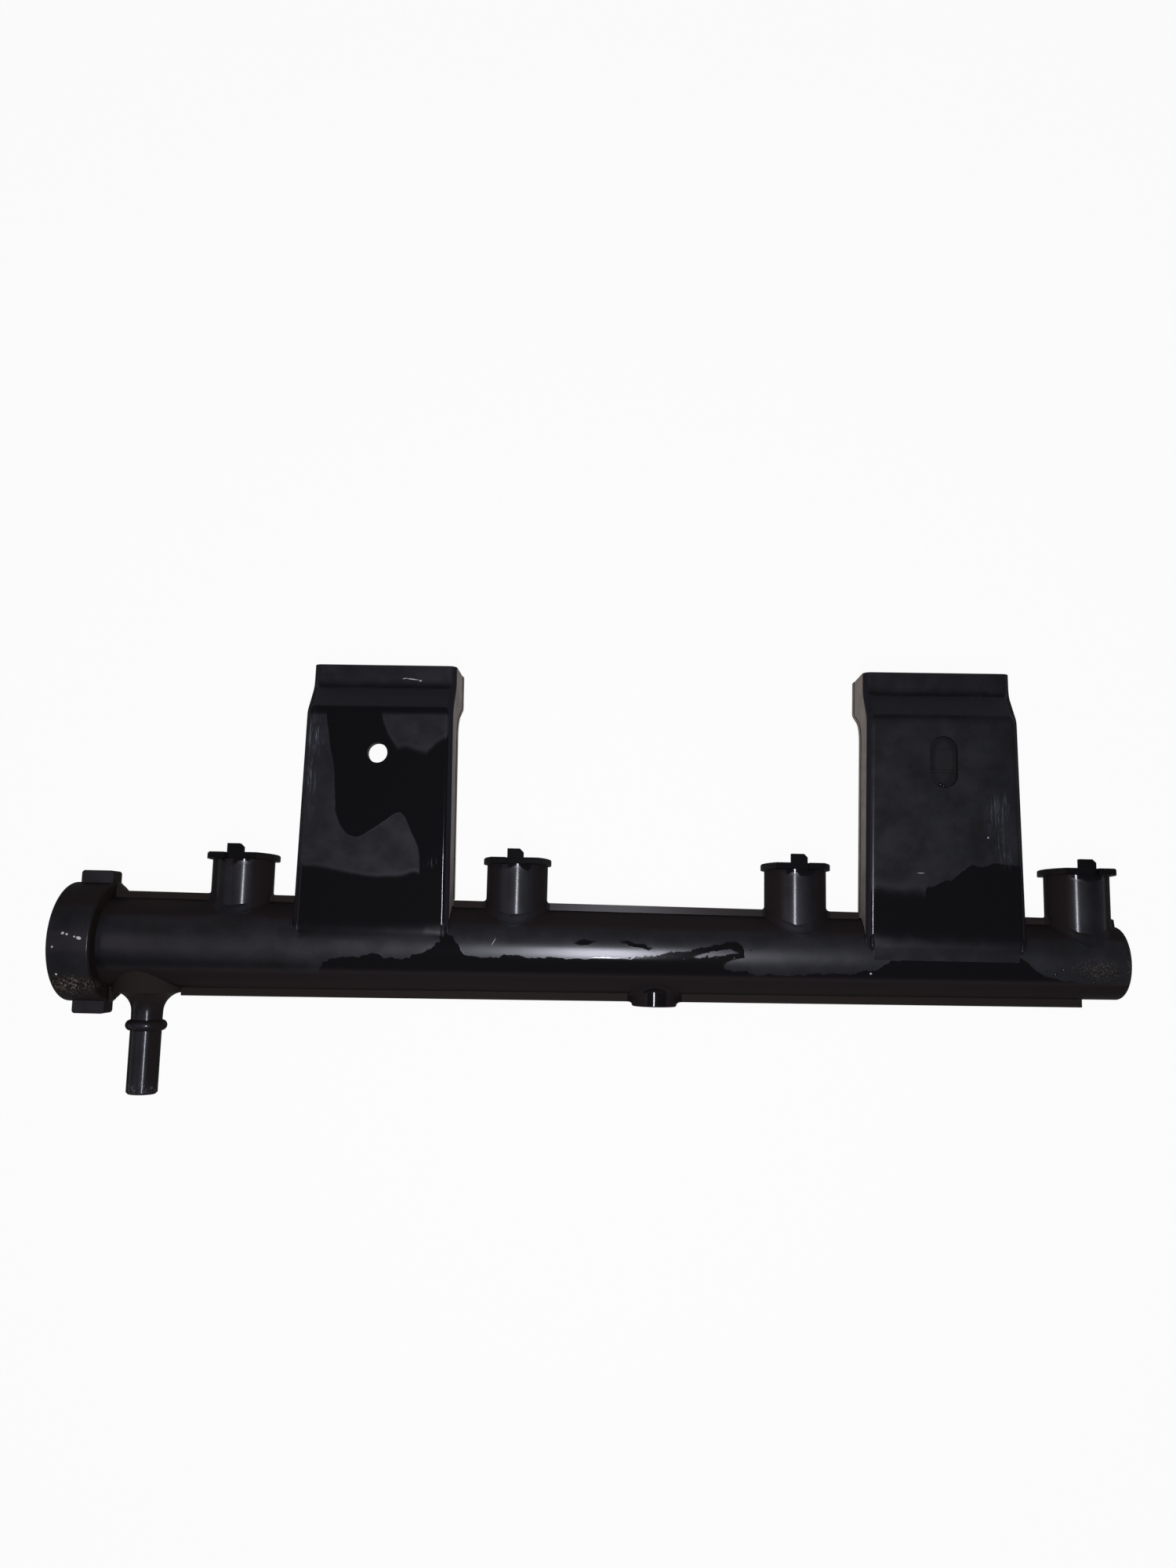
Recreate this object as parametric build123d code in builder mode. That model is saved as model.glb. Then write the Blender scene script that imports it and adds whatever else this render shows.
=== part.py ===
from build123d import *
import os

# Fuel rail for four injectors: a tapered barrel of two pressed shells, lying on its back.
# The origin is the round hole of the left bracket, on the front face of its web.
# X runs along the barrel to the small end, Y towards the injectors, Z up out of the web.

pitch = 88.0                    # distance between neighbouring injectors
hole_height = 60.5              # bracket holes above the barrel's axis
web_face = 12.6                 # front face of the webs above the barrel's axis

# Barrel
left_overhang = 43.2            # barrel beyond the first cup
right_overhang = 10.2           # barrel beyond the last cup
barrel_left_radius = 14.2
barrel_right_radius = 11.3
shell_wall = 1.5
flange_reach = 2.1              # how far the upper seam flanges stand out of the barrel
lower_flange_reach = 2.4
gusset_length = 2.7
gusset_rise = 2.7

# Collar and ears at the large end
collar_step = 4.6               # how far the collar stands out of the barrel
collar_wall = 2.5
collar_width = 13.3
collar_floor = 3.0
collar_edge = 0.8
ear_height = 3.7                # how far the ears stand out of the collar
ear_width = 10.2
ear_setback = 0.6               # from the collar's inner face to the ears
ear_half_depth = 3.2
ear_edge = 1.0

# Injector cups
cup_radius = 9.65
cup_bore = 7.2
cup_top = 28.7
cup_foot = 5.5                  # lower end of the cup, inside the barrel
cup_seat = 13.5                 # bottom of the injector's bore
cup_passage = 3.5
cup_mouth_chamfer = 0.5
cup_flange_thickness = 1.9
cup_flange_half_width = 10.7
cup_flange_half_depth = 11.8
cup_flange_flat = 7.5           # half length of the straight front and rear edges
cup_flange_edge = 0.5
clip_notch_width = 5.0
clip_notch_depth = 1.6
tab_width = 5.0
tab_thickness = 2.0
tab_height = 2.8
tab_front = 9.9
tab_chamfer = 1.1

# Inlet spigot
spigot_offset = 15.0            # from the barrel's large end
spigot_radius = 4.745
spigot_bore = 3.1
spigot_tip = 47.0               # tip below the barrel's axis
spigot_inside = 11.5            # inner end of the tube below the barrel's axis
spigot_tip_chamfer = 0.6
bead_radius = 6.3
bead_height = 25.8              # bead below the barrel's axis
bead_half_width = 1.7
root_radius = 4.8
root_end = 21.6
root_flare = 6.2

# Boss under the middle
boss_radius = 7.0
boss_height = 3.8               # how far the boss stands out of the barrel
boss_edge = 0.3

# Brackets
foot_rise = 29.5                # the feet end this far above the holes
bracket_half_top = 23.0         # half width at the foot
bracket_half_base = 24.4        # half width at the barrel's axis
bracket_sheet = 2.5
web_foot = 3.0                  # lowest point of the web above the barrel's axis
web_bevel_length = 4.5
web_bevel_depth = 1.5
lip_length = 6.6
lip_offset = 6.2                # the lip lies this far behind the web
joggle_length = 9.2
joggle_radius = 6.0
wall_back = 0.5                 # rear edge of the side walls
foot_back = -11.0               # rear edge of the walls at the foot
foot_length = 11.0
foot_blend = 6.0
foot_radius = 2.0
wall_radius = 8.0
bracket_edge = 2.4
hem_width = 2.6
hem_proud = 0.2
bracket_hole_radius = 3.15
slot_length = 16.2
slot_width = 8.6

# Plug in the right bracket's slot
plug_clearance = 0.1
plug_recess = 1.1
plug_head = 1.4
plug_head_border = 1.3
plug_tongue_length = 6.4
plug_tongue_width = 7.0
plug_tongue_rise = 0.8
plug_tongue_height = 0.8        # middle of the tongue above the middle of the slot
plug_ledge_gap = 0.8
plug_ledge_depth = 0.7

# End plug
end_cap_thickness = 1.8
end_cap_edge = 1.5
end_cap_neck = 6.0

# Damper in the collar, measured from the collar's mouth inwards
fit_clearance = 0.15
dome_start = 0.2
dome_border = 3.9               # from the dome to the collar's bore
dome_wall = 1.0
dome_edge = 2.2
ring_start = 3.4
ring_thickness = 1.2
ring_grip = 0.7                 # how deep the ring sits in its groove
ring_band = 2.6
ring_gap = 9.0
cover_rim = 1.2
diaphragm_thickness = 0.8
diaphragm_bulge = 1.2
o_ring_section = 0.95
o_ring_clearance = 0.02
damper_port = 6.0
chamber_wall = 4.15
chamber_depth = 2.2
seat_radius = 5.4
seat_thickness = 0.9
seat_post_radius = 2.2
seat_post_height = 1.0
spring_radius = 3.6
spring_wire = 0.4
spring_turns = 3

same_size = 0.01                # two radii closer than this are taken as equal

axis_y = -hole_height
axis_z = -web_face
cup_places = [(i - 0.5) * pitch for i in range(4)]
bracket_places = [0, 2 * pitch]
boss_x = pitch
barrel_left = cup_places[0] - left_overhang
barrel_right = cup_places[-1] + right_overhang
spigot_x = barrel_left + spigot_offset
bracket_top = hole_height + foot_rise
barrel_plane = Plane(origin=(0, axis_y, axis_z))
barrel_axis = Axis((0, axis_y, axis_z), (1, 0, 0))
collar_right = barrel_left + collar_floor
collar_left = collar_right - collar_width
cap_right = barrel_right + end_cap_thickness
lower_flange_end = cup_places[-1]
taper = (barrel_left_radius - barrel_right_radius) / (barrel_right - barrel_left)
collar_radius = barrel_left_radius + collar_step
damper_bore = collar_radius - collar_wall
ear_reach = collar_radius + ear_height


def barrel_radius(x):
    """Outer radius of the barrel at a place along it."""
    return barrel_left_radius - taper * (x - barrel_left)


boss_reach = barrel_radius(boss_x) + boss_height


def cross_plane(x, height):
    """Plane across a cup, spigot or boss: its x runs along the barrel, its y to the rear."""
    return Plane(origin=(x, axis_y + height, axis_z), x_dir=(1, 0, 0), z_dir=(0, 1, 0))


def upright(x):
    """Axis of a cup, spigot or boss, towards the injectors."""
    return Axis((x, axis_y, axis_z), (0, 1, 0))


def cone(offset, left, right):
    """Solid cone that follows the barrel, with its radius changed by an offset."""
    with BuildPart(mode=Mode.PRIVATE) as solid:
        with BuildSketch(barrel_plane):
            with BuildLine():
                Polyline(
                    (left, 0),
                    (left, barrel_radius(left) + offset),
                    (right, barrel_radius(right) + offset),
                    (right, 0),
                    close=True,
                )
            make_face()
        revolve(axis=barrel_axis)
    return solid.part


def post(x, radius, low, high):
    """Round solid across the barrel between two heights above its axis."""
    with BuildPart(mode=Mode.PRIVATE) as solid:
        with BuildSketch(cross_plane(x, low)):
            Circle(radius)
        extrude(amount=high - low)
    return solid.part


# Seam flanges: one flat blank per shell, higher where it meets the ears of the collar.
def flange_blank(thickness):
    """Flat blank in the seam plane, on the side that the thickness points to."""
    gusset_end = collar_right + gusset_length
    gusset_top = barrel_radius(collar_right) + flange_reach + gusset_rise
    lower_left = barrel_radius(gusset_end) + lower_flange_reach
    lower_right = barrel_radius(lower_flange_end) + lower_flange_reach
    with BuildPart(mode=Mode.PRIVATE) as blank:
        with BuildSketch(barrel_plane):
            with BuildLine():
                Polyline(
                    (collar_right, -gusset_top),
                    (gusset_end, -lower_left),
                    (lower_flange_end, -lower_right),
                    (lower_flange_end, 0),
                    (barrel_right, 0),
                    (barrel_right, barrel_radius(barrel_right) + flange_reach),
                    (gusset_end, barrel_radius(gusset_end) + flange_reach),
                    (collar_right, gusset_top),
                    close=True,
                )
            make_face()
        extrude(amount=thickness)
    return blank.part


def shell(side):
    """One pressed half of the barrel: side is 1 for the front half and -1 for the rear half."""
    with BuildPart(mode=Mode.PRIVATE) as half:
        add(flange_blank(side * shell_wall))
        add(post(boss_x, boss_radius, -boss_reach, 0), mode=Mode.SUBTRACT)
        add(post(spigot_x, root_radius + root_flare, -ear_reach, 0), mode=Mode.SUBTRACT)
        add(cone(0, barrel_left, barrel_right))
        add(cone(-shell_wall, barrel_left, barrel_right), mode=Mode.SUBTRACT)
        for x in cup_places:
            add(post(x, cup_radius, cup_foot, cup_top), mode=Mode.SUBTRACT)
        add(post(spigot_x, spigot_radius, -ear_reach, -spigot_inside + shell_wall), mode=Mode.SUBTRACT)
        split(bisect_by=barrel_plane, keep=Keep.TOP if side > 0 else Keep.BOTTOM)
    return half.part


with BuildPart() as front_shell:
    add(shell(1))

with BuildPart() as rear_shell:
    add(shell(-1))

# End plug: a rounded cap with a neck in the small end of the barrel, cut away under the last cup.
neck_radius = barrel_radius(barrel_right) - shell_wall
with BuildPart() as end_plug:
    with BuildSketch(Plane(origin=(barrel_right, axis_y, axis_z), x_dir=(0, 1, 0), z_dir=(1, 0, 0))):
        Circle(barrel_radius(cap_right))
    extrude(amount=end_cap_thickness)
    fillet(end_plug.faces().sort_by(Axis.X)[-1].edges(), radius=end_cap_edge)
    with BuildSketch(Plane(origin=(barrel_right, axis_y, axis_z), x_dir=(0, 1, 0), z_dir=(1, 0, 0))):
        Circle(neck_radius)
    extrude(amount=-end_cap_neck)
    add(post(cup_places[-1], cup_radius, cup_foot, cup_top), mode=Mode.SUBTRACT)

# Damper collar: a ring with a floor that sits on the barrel's large end, and two ears in the seam plane.
collar_mouth = Plane(origin=(collar_left, axis_y, axis_z), x_dir=(0, 1, 0), z_dir=(1, 0, 0))
with BuildPart() as damper_collar:
    with BuildSketch(collar_mouth):
        Circle(collar_radius)
    extrude(amount=collar_width)
    fillet(damper_collar.edges().filter_by(GeomType.CIRCLE), radius=collar_edge)
    with BuildSketch(barrel_plane.offset(-ear_half_depth)):
        with Locations((collar_right - ear_setback - ear_width / 2, 0)):
            RectangleRounded(ear_width, 2 * ear_reach, ear_edge)
    extrude(amount=2 * ear_half_depth)
    with BuildSketch(collar_mouth):
        Circle(damper_bore)
    extrude(amount=collar_width - collar_floor, mode=Mode.SUBTRACT)
    with BuildSketch(collar_mouth.offset(ring_start)):
        Circle(damper_bore + ring_grip)
    extrude(amount=ring_thickness, mode=Mode.SUBTRACT)
    add(cone(0, barrel_left, collar_right), mode=Mode.SUBTRACT)


# Injector cups: turned cups with a waisted flange, a clip notch and an upright tab at the front.
def injector_cup(x):
    """One injector cup at its place along the barrel."""
    with BuildPart(mode=Mode.PRIVATE) as cup:
        with BuildSketch(cross_plane(x, cup_foot)):
            Circle(cup_radius)
        extrude(amount=cup_top - cup_foot)
        with BuildSketch(cross_plane(x, cup_top)):
            with BuildLine():
                Line((-cup_flange_flat, -cup_flange_half_depth), (cup_flange_flat, -cup_flange_half_depth))
                ThreePointArc(
                    (cup_flange_flat, -cup_flange_half_depth),
                    (cup_flange_half_width, 0),
                    (cup_flange_flat, cup_flange_half_depth),
                )
                Line((cup_flange_flat, cup_flange_half_depth), (-cup_flange_flat, cup_flange_half_depth))
                ThreePointArc(
                    (-cup_flange_flat, cup_flange_half_depth),
                    (-cup_flange_half_width, 0),
                    (-cup_flange_flat, -cup_flange_half_depth),
                )
            make_face()
            with Locations((0, -cup_flange_half_depth)):
                Rectangle(clip_notch_width, 2 * clip_notch_depth, mode=Mode.SUBTRACT)
        extrude(amount=-cup_flange_thickness)
        fillet(cup.faces().sort_by(Axis.Y)[-1].edges(), radius=cup_flange_edge)
        with BuildSketch(barrel_plane.offset(tab_front)):
            with BuildLine():
                Polyline(
                    (x - tab_width / 2, cup_top - cup_flange_thickness),
                    (x + tab_width / 2, cup_top - cup_flange_thickness),
                    (x + tab_width / 2, cup_top + tab_height - tab_chamfer),
                    (x + tab_width / 2 - tab_chamfer, cup_top + tab_height),
                    (x - tab_width / 2, cup_top + tab_height),
                    close=True,
                )
            make_face()
        extrude(amount=-tab_thickness)
        with BuildSketch(cross_plane(x, cup_top)):
            Circle(cup_bore)
        extrude(amount=cup_seat - cup_top, mode=Mode.SUBTRACT)
        with BuildSketch(cross_plane(x, cup_foot)):
            Circle(cup_passage)
        extrude(amount=cup_seat - cup_foot, mode=Mode.SUBTRACT)
        circles = cup.edges().filter_by(GeomType.CIRCLE)
        bore_circles = circles.filter_by(lambda e: abs(e.radius - cup_bore) < same_size)
        chamfer(bore_circles.sort_by(Axis.Y)[-1], length=cup_mouth_chamfer)
    return cup.part


with BuildPart() as injector_cup_1:
    add(injector_cup(cup_places[0]))

with BuildPart() as injector_cup_2:
    add(injector_cup(cup_places[1]))

with BuildPart() as injector_cup_3:
    add(injector_cup(cup_places[2]))

with BuildPart() as injector_cup_4:
    add(injector_cup(cup_places[3]))

# Inlet spigot: a tube with a bead for a quick connector, and a flared foot on the barrel.
spigot_plane = Plane(origin=(spigot_x, axis_y, axis_z))
with BuildPart() as inlet_spigot:
    with BuildSketch(spigot_plane):
        with BuildLine():
            Polyline(
                (spigot_bore, -bead_height),
                (spigot_bore, -spigot_tip),
                (spigot_radius - spigot_tip_chamfer, -spigot_tip),
                (spigot_radius, -spigot_tip + spigot_tip_chamfer),
                (spigot_radius, -bead_height - bead_half_width),
            )
            ThreePointArc(
                (spigot_radius, -bead_height - bead_half_width),
                (bead_radius, -bead_height),
                (spigot_radius, -bead_height + bead_half_width),
            )
            Polyline(
                (spigot_radius, -bead_height + bead_half_width),
                (root_radius, -root_end),
            )
            RadiusArc(
                (root_radius, -root_end),
                (root_radius + root_flare, -root_end + root_flare),
                root_flare,
            )
            Polyline(
                (root_radius + root_flare, -root_end + root_flare),
                (root_radius + root_flare, 0),
                (spigot_bore, 0),
                (spigot_bore, -bead_height),
            )
        make_face()
    revolve(axis=upright(spigot_x))
    add(cone(0, barrel_left, barrel_right), mode=Mode.SUBTRACT)
    add(damper_collar.part, mode=Mode.SUBTRACT)
    with BuildSketch(cross_plane(spigot_x, -root_end)):
        Circle(spigot_radius)
        Circle(spigot_bore, mode=Mode.SUBTRACT)
    extrude(amount=root_end - spigot_inside)

# Centre boss: a short blind boss with flared flanks under the middle of the barrel.
with BuildPart() as centre_boss:
    with BuildSketch(Plane(origin=(boss_x, axis_y, axis_z))):
        with BuildLine():
            Polyline(
                (0, -boss_reach),
                (boss_radius - boss_edge, -boss_reach),
                (boss_radius, -boss_reach + boss_edge),
                (boss_radius, 0),
                (0, 0),
                close=True,
            )
        make_face()
    revolve(axis=upright(boss_x))
    add(cone(0, barrel_left, barrel_right), mode=Mode.SUBTRACT)


# Brackets: wide channels, open to the rear, with a joggled lip and deeper walls at the foot.
def side_plane(x):
    """Plane across the barrel: its x is the height above the barrel's axis, its y is depth."""
    return Plane(origin=(x, axis_y, axis_z), x_dir=(0, 1, 0), z_dir=(1, 0, 0))


def face_line(start, face, top, shift):
    """Side outline of a bracket's front or inner face, from the web up to the lip."""
    lip_low = bracket_top - lip_length - shift
    FilletPolyline(
        (start, face),
        (lip_low - joggle_length, face),
        (lip_low, face - lip_offset),
        (top, face - lip_offset),
        radius=joggle_radius,
    )


def rear_line(end, inset):
    """Side outline of the walls' rear edge, from the foot down, moved forward by an inset."""
    foot_low = bracket_top - foot_length
    FilletPolyline(
        (bracket_top, foot_back + inset),
        (foot_low, foot_back + inset),
        (foot_low - foot_blend, wall_back + inset),
        (end, wall_back + inset),
        radius=[foot_radius, wall_radius],
    )


def bracket_plan(x, inset):
    """Tapered block that bounds a bracket sideways, with its sides moved in by an inset."""
    with BuildPart(mode=Mode.PRIVATE) as block:
        with BuildSketch(barrel_plane.offset(foot_back)):
            with BuildLine():
                Polyline(
                    (x - bracket_half_base + inset, 0),
                    (x - bracket_half_top + inset, bracket_top),
                    (x + bracket_half_top - inset, bracket_top),
                    (x + bracket_half_base - inset, 0),
                    close=True,
                )
            make_face()
        extrude(amount=web_face - foot_back)
    return block.part


def bracket_block(x):
    """Solid outline of a bracket, before it is hollowed."""
    with BuildPart(mode=Mode.PRIVATE) as block:
        with BuildSketch(side_plane(x)):
            with BuildLine():
                Polyline(
                    (web_foot, wall_back),
                    (web_foot, web_face - web_bevel_depth),
                    (web_foot + web_bevel_length, web_face),
                )
                face_line(web_foot + web_bevel_length, web_face, bracket_top, 0)
                Line((bracket_top, web_face - lip_offset), (bracket_top, foot_back))
                rear_line(web_foot, 0)
            make_face()
        extrude(amount=bracket_half_base, both=True)
        add(bracket_plan(x, 0), mode=Mode.INTERSECT)
        ends = block.faces().sort_by(Axis.X)
        edges = ends[0].edges() + ends[-1].edges()
        bevel_top = axis_y + web_foot + web_bevel_length
        front = edges.filter_by(lambda e: e.center().Z - axis_z > web_face - lip_offset - bracket_edge)
        above_bevel = front.filter_by(lambda e: bevel_top < e.center().Y < axis_y + bracket_top)
        fillet(above_bevel, radius=bracket_edge)
    return block.part


def bracket_hollow(x):
    """The channel inside a bracket, open to the rear and to the barrel."""
    inner_face = web_face - bracket_sheet
    inner_top = bracket_top - bracket_sheet
    # The inner joggle lies lower by this much, so that the sheet stays about as thick in the slope.
    shift = bracket_sheet * lip_offset / joggle_length / 2
    with BuildPart(mode=Mode.PRIVATE) as hollow:
        with BuildSketch(side_plane(x)):
            with BuildLine():
                Line((0, foot_back), (0, inner_face))
                face_line(0, inner_face, inner_top, shift)
                Polyline((inner_top, inner_face - lip_offset), (inner_top, foot_back), (0, foot_back))
            make_face()
        extrude(amount=bracket_half_base, both=True)
        add(bracket_plan(x, bracket_sheet), mode=Mode.INTERSECT)
    return hollow.part


def bracket_hem(x):
    """Folded band along the rear edges of both side walls."""
    hem_low = barrel_radius(x) + flange_reach
    with BuildPart(mode=Mode.PRIVATE) as hem:
        with BuildSketch(side_plane(x)):
            with BuildLine():
                rear_line(hem_low, 0)
                Line((hem_low, wall_back), (hem_low, wall_back + hem_width))
                rear_line(hem_low, hem_width)
                Line((bracket_top, foot_back + hem_width), (bracket_top, foot_back))
            make_face()
        extrude(amount=bracket_half_base, both=True)
        add(bracket_plan(x, -hem_proud), mode=Mode.INTERSECT)
    return hem.part


def bracket(x):
    """One bracket at its place along the barrel, without its hole."""
    with BuildPart(mode=Mode.PRIVATE) as channel:
        add(bracket_block(x))
        add(bracket_hem(x))
        add(bracket_hollow(x), mode=Mode.SUBTRACT)
        add(cone(0, barrel_left, barrel_right), mode=Mode.SUBTRACT)
        add(flange_blank(shell_wall), mode=Mode.SUBTRACT)
        add(flange_blank(-shell_wall), mode=Mode.SUBTRACT)
    return channel.part


with BuildPart() as left_bracket:
    add(bracket(bracket_places[0]))
    with BuildSketch(Plane.XY):
        Circle(bracket_hole_radius)
    extrude(amount=-bracket_sheet, mode=Mode.SUBTRACT)

with BuildPart() as right_bracket:
    add(bracket(bracket_places[1]))
    with BuildSketch(Plane.XY):
        with Locations((bracket_places[1], 0)):
            SlotOverall(slot_length, slot_width, rotation=90)
    extrude(amount=-bracket_sheet, mode=Mode.SUBTRACT)

# Slot plug: fills the slot from the rear, with a head behind the web and a tongue above a lower ledge.
plug_length = slot_length - 2 * plug_clearance
plug_width = slot_width - 2 * plug_clearance
slot_x = bracket_places[1]
with BuildPart() as slot_plug:
    with BuildSketch(Plane.XY.offset(-bracket_sheet)):
        with Locations((slot_x, 0)):
            SlotOverall(slot_length + 2 * plug_head_border, slot_width + 2 * plug_head_border, rotation=90)
    extrude(amount=-plug_head)
    with BuildSketch(Plane.XY.offset(-bracket_sheet)):
        with Locations((slot_x, 0)):
            SlotOverall(plug_length, plug_width, rotation=90)
    extrude(amount=bracket_sheet - plug_recess)
    with BuildSketch(Plane.XY.offset(-plug_recess)):
        with Locations((slot_x, plug_tongue_height)):
            Rectangle(plug_tongue_width, plug_tongue_length)
    extrude(amount=plug_tongue_rise)
    ledge_top = plug_tongue_height - plug_tongue_length / 2 - plug_ledge_gap
    with BuildSketch(Plane.XY.offset(-plug_recess)):
        with Locations((slot_x, ledge_top - slot_length / 2)):
            Rectangle(slot_width, slot_length)
    extrude(amount=-plug_ledge_depth, mode=Mode.SUBTRACT)

# Damper: body, seal, diaphragm, spring and cover, stacked on the collar's floor and held by a ring.
ring_end = ring_start + ring_thickness
diaphragm_start = ring_end + cover_rim
body_start = diaphragm_start + diaphragm_thickness
floor_depth = collar_width - collar_floor
damper_radius = damper_bore - fit_clearance
dome_radius = damper_bore - dome_border
chamber_radius = damper_radius - chamber_wall


def depth_plane(depth):
    """Plane across the collar at a depth below its mouth, facing along the barrel."""
    return collar_mouth.offset(depth)


with BuildPart() as damper_body:
    with BuildSketch(depth_plane(body_start)):
        Circle(damper_radius)
        Circle(damper_port, mode=Mode.SUBTRACT)
    extrude(amount=floor_depth - body_start)
    with BuildSketch(depth_plane(body_start)):
        Circle(chamber_radius)
    extrude(amount=chamber_depth, mode=Mode.SUBTRACT)
    with BuildSketch(depth_plane((body_start + floor_depth) / 2 - o_ring_section)):
        Circle(damper_bore)
        Circle(damper_bore - 2 * o_ring_section - o_ring_clearance, mode=Mode.SUBTRACT)
    extrude(amount=2 * o_ring_section, mode=Mode.SUBTRACT)

with BuildPart() as damper_o_ring:
    with BuildSketch(Plane(origin=(collar_left + (body_start + floor_depth) / 2, axis_y, axis_z))):
        with Locations((0, damper_bore - o_ring_section - o_ring_clearance / 2)):
            Circle(o_ring_section - o_ring_clearance / 2)
    revolve(axis=barrel_axis)

with BuildPart() as damper_diaphragm:
    with BuildSketch(depth_plane(diaphragm_start)):
        Circle(damper_radius)
    extrude(amount=diaphragm_thickness)
    with BuildSketch(depth_plane(body_start)):
        Circle(damper_port)
    extrude(amount=diaphragm_bulge)

with BuildPart() as damper_cover:
    with BuildSketch(depth_plane(ring_end)):
        Circle(damper_radius)
    extrude(amount=cover_rim)
    with BuildSketch(depth_plane(dome_start)):
        Circle(dome_radius)
    extrude(amount=ring_end - dome_start)
    fillet(damper_cover.faces().sort_by(Axis.X)[0].edges(), radius=dome_edge)
    with BuildSketch(depth_plane(dome_start + dome_wall)):
        Circle(dome_radius - dome_wall)
    extrude(amount=diaphragm_start - dome_start - dome_wall, mode=Mode.SUBTRACT)

seat_start = diaphragm_start - seat_thickness
with BuildPart() as spring_seat:
    with BuildSketch(depth_plane(seat_start)):
        Circle(seat_radius)
    extrude(amount=seat_thickness)
    with BuildSketch(depth_plane(seat_start)):
        Circle(seat_post_radius)
    extrude(amount=-seat_post_height)

spring_room = seat_start - dome_start - dome_wall
spring_travel = spring_room - 2 * spring_wire
spring_centre = Vector(collar_left + dome_start + dome_wall + spring_wire, axis_y, axis_z)
with BuildPart() as damper_spring:
    with BuildLine():
        coil = Helix(
            pitch=spring_travel / spring_turns,
            height=spring_travel,
            radius=spring_radius,
            center=spring_centre,
            direction=(1, 0, 0),
        )
    with BuildSketch(Plane(origin=coil @ 0, z_dir=coil % 0)):
        Circle(spring_wire)
    sweep()

with BuildPart() as retaining_ring:
    with BuildSketch(depth_plane(ring_start)):
        Circle(damper_bore + ring_grip - fit_clearance)
        Circle(damper_bore + ring_grip - fit_clearance - ring_band, mode=Mode.SUBTRACT)
        with Locations((0, damper_bore)):
            Rectangle(ring_gap, damper_bore, mode=Mode.SUBTRACT)
    extrude(amount=ring_thickness)

pieces = {
    "front_shell": front_shell,
    "rear_shell": rear_shell,
    "end_plug": end_plug,
    "damper_collar": damper_collar,
    "injector_cup_1": injector_cup_1,
    "injector_cup_2": injector_cup_2,
    "injector_cup_3": injector_cup_3,
    "injector_cup_4": injector_cup_4,
    "inlet_spigot": inlet_spigot,
    "centre_boss": centre_boss,
    "left_bracket": left_bracket,
    "right_bracket": right_bracket,
    "slot_plug": slot_plug,
    "damper_body": damper_body,
    "damper_o_ring": damper_o_ring,
    "damper_diaphragm": damper_diaphragm,
    "damper_cover": damper_cover,
    "spring_seat": spring_seat,
    "damper_spring": damper_spring,
    "retaining_ring": retaining_ring,
}

os.makedirs("parts", exist_ok=True)
for name, piece in pieces.items():
    piece.part.label = name
    export_step(piece.part, f"parts/{name}.step")
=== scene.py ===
# Fuel rail for four injectors, lying on its back: its finishes, its brazed joints and the studio.
import math
import random
import bmesh
import bpy
from mathutils import Matrix, Vector, noise


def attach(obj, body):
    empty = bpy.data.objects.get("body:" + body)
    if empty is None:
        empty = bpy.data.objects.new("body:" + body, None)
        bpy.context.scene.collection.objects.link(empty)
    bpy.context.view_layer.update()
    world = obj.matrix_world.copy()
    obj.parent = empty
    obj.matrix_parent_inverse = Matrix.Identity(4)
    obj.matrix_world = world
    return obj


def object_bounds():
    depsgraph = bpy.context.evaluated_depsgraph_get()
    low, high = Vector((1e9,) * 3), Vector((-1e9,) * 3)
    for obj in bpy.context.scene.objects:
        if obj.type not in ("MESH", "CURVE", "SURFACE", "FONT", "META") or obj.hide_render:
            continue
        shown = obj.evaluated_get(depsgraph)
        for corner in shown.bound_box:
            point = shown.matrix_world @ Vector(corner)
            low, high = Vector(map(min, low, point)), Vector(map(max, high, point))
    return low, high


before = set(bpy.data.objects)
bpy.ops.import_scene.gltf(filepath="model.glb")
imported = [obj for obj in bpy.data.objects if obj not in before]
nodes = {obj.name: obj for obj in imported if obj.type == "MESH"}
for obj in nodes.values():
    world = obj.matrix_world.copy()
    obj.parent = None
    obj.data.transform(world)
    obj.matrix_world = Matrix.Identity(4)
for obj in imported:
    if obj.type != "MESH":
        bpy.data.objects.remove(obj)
cad_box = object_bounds()
MM = 0.001

# Barrel. Two halves pressed from mild steel sheet, brazed together along their flanges and dipped
# in black enamel with the rest of the rail. Dry enamel is a soft satin. Where oil has run over it,
# it is a dark mirror. Its flanks are dulled and painted a dark brown, a painted dim reflection of the floor.


def linear_colour(hex_code):
    """An sRGB hex colour as linear RGBA."""
    parts = [int(hex_code[i:i + 2], 16) / 255 for i in (1, 3, 5)]
    return [c / 12.92 if c <= 0.04045 else ((c + 0.055) / 1.055) ** 2.4 for c in parts] + [1.0]


def add_node(material, kind, sockets=None, **settings):
    """Adds a node with its settings; each socket gets a value or a link from another socket."""
    node = material.node_tree.nodes.new(kind)
    for name, value in settings.items():
        setattr(node, name, value)
    for name, value in (sockets or {}).items():
        if isinstance(value, bpy.types.NodeSocket):
            material.node_tree.links.new(value, node.inputs[name])
        else:
            node.inputs[name].default_value = value
    return node


def new_material(name):
    """An empty node material and its output."""
    material = bpy.data.materials.new(name)
    material.use_nodes = True
    material.node_tree.nodes.clear()
    return material, add_node(material, "ShaderNodeOutputMaterial")


def joined(material, operation, *masks):
    """Masks joined two by two with a Math operation, such as MAXIMUM for either and MINIMUM for both."""
    mask = masks[0]
    for other in masks[1:]:
        mask = add_node(material, "ShaderNodeMath", {0: mask, 1: other}, operation=operation).outputs[0]
    return mask


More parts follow.
